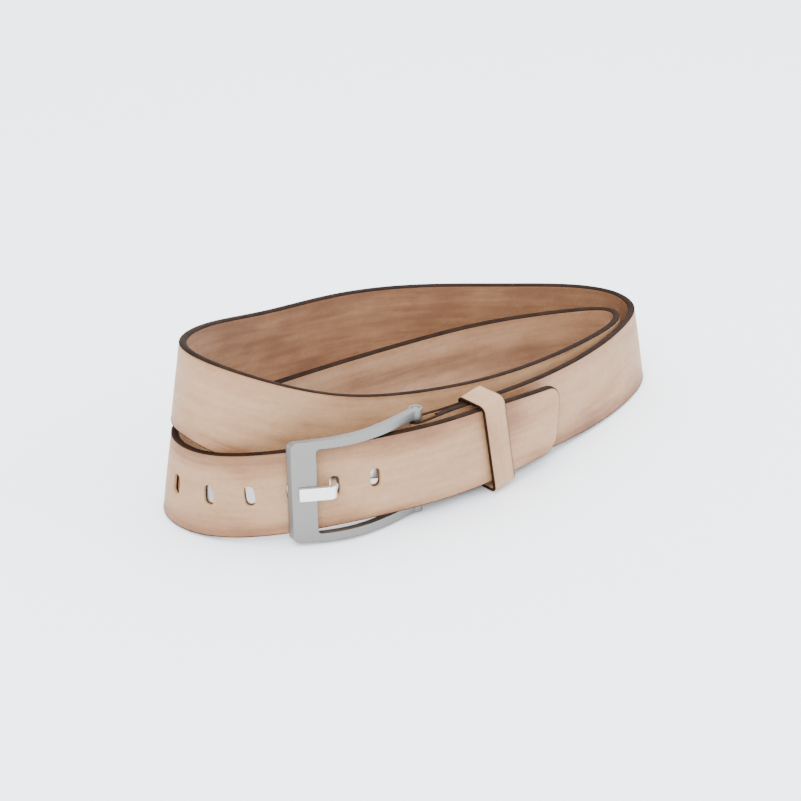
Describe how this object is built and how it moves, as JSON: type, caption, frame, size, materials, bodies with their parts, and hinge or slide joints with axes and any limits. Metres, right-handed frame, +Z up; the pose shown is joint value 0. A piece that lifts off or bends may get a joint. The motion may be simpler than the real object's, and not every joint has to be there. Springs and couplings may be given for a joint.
{
  "type": "leather belt",
  "caption": "Dress belt of layered leather, coiled in turns and fastened, with a bowed metal buckle frame, hinged tongue and loose leather keeper.",
  "frame": {"origin": "centre of the coiled belt's bounding box, on the surface it lies on", "axes": "+X along the coil's long side, away from the buckle's front bar; +Y from the buckled side to the back run; +Z up"},
  "size_m": [0.243, 0.1091, 0.0728],
  "materials": {
    "grain_leather": "light tan, mottled, waxed",
    "core_leather": "dark burnished edge",
    "lining_leather": "mid brown, matt",
    "keeper_leather": "light tan, waxed",
    "frame_metal": "satin grey",
    "tongue_metal": "bright satin",
    "screw_metal": "satin nickel"
  },
  "bodies": {
    "strap": {"strap_grain_layer": "grain_leather", "strap_core": "core_leather", "strap_lining": "lining_leather", "upper_screw_post": "screw_metal", "lower_screw_post": "screw_metal", "upper_return_screw": "screw_metal", "lower_return_screw": "screw_metal"},
    "buckle": {"buckle_frame": "frame_metal", "pivot_bar": "frame_metal"},
    "tongue": {"tongue": "tongue_metal"},
    "keeper": {"keeper_band": "keeper_leather", "keeper_staple": "screw_metal"}
  },
  "joints": [
    {"name": "buckle_swing", "type": "hinge", "parent": "strap", "child": "buckle", "pos_m": [-0.03008, -0.04455, 0.02312], "axis": [0.0091, 0.0369, 0.9993], "range_deg": [0, 1]},
    {"name": "tongue_pivot", "type": "hinge", "parent": "buckle", "child": "tongue", "pos_m": [-0.03008, -0.04455, 0.02312], "axis": [0.0091, 0.0369, 0.9993], "range_deg": [0, 1]},
    {"name": "keeper_slide", "type": "slide", "parent": "strap", "child": "keeper", "axis": [0.9754, 0.2197, -0.017], "range_m": [0, 0.008]}
  ]
}
